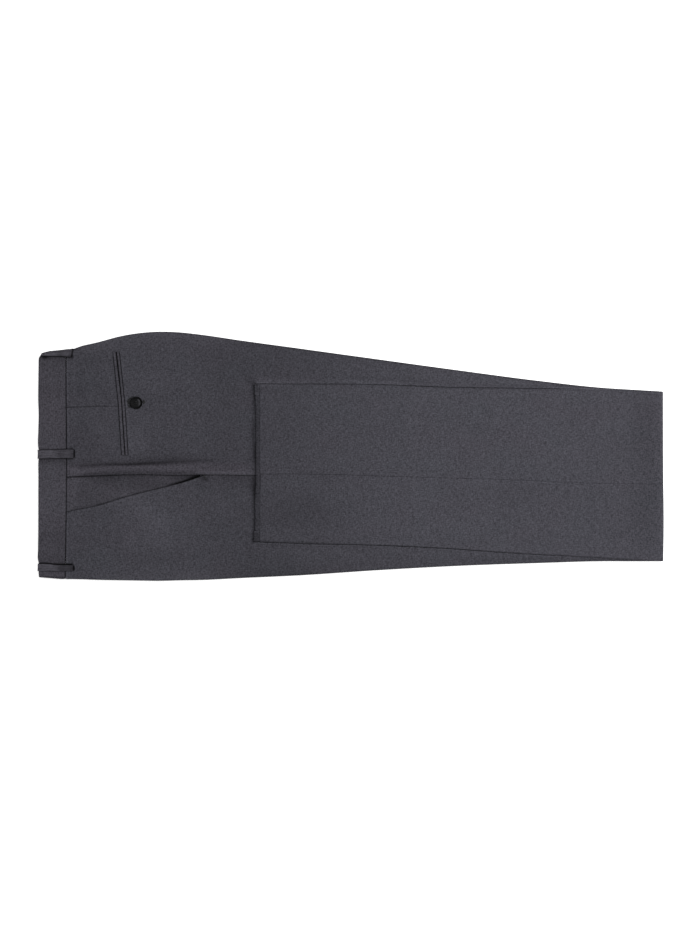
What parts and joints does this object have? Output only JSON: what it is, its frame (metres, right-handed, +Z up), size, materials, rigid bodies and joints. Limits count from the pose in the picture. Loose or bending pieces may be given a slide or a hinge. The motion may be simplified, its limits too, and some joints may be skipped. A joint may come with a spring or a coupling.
{
  "type": "flat-front dress trousers, folded",
  "caption": "Flat-front dress trousers in charcoal worsted, pressed flat on the leg creases with the lower legs folded back over the knees.",
  "frame": {"origin": "on the surface the garment lies on, below the middle of the whole folded garment", "axes": "+Z up out of the surface; +X from the waistband's top edge to the fold at the knees; +Y the seat side, -Y the front side; the wearer's left side is up"},
  "size_m": [0.7512, 0.2986, 0.0101],
  "materials": {
    "suiting": "fine worsted weave, matt, faint sheen",
    "suiting_inside": "hidden layers of the same worsted",
    "button": "near-black, satin"
  },
  "bodies": {
    "root": {"left_front": "suiting", "left_back": "suiting", "right_front": "suiting", "right_back": "suiting", "left_waistband": "suiting", "right_waistband": "suiting", "left_pocket_facing": "suiting", "right_pocket_facing": "suiting", "left_welt_upper": "suiting", "left_welt_lower": "suiting", "right_welt_upper": "suiting", "right_welt_lower": "suiting", "left_loop_front": "suiting", "left_loop_side": "suiting", "left_loop_back": "suiting", "right_loop_front": "suiting", "right_loop_side": "suiting", "right_loop_back": "suiting", "inner_layers": "suiting_inside", "left_pocket_button": "button"}
  },
  "joints": []
}
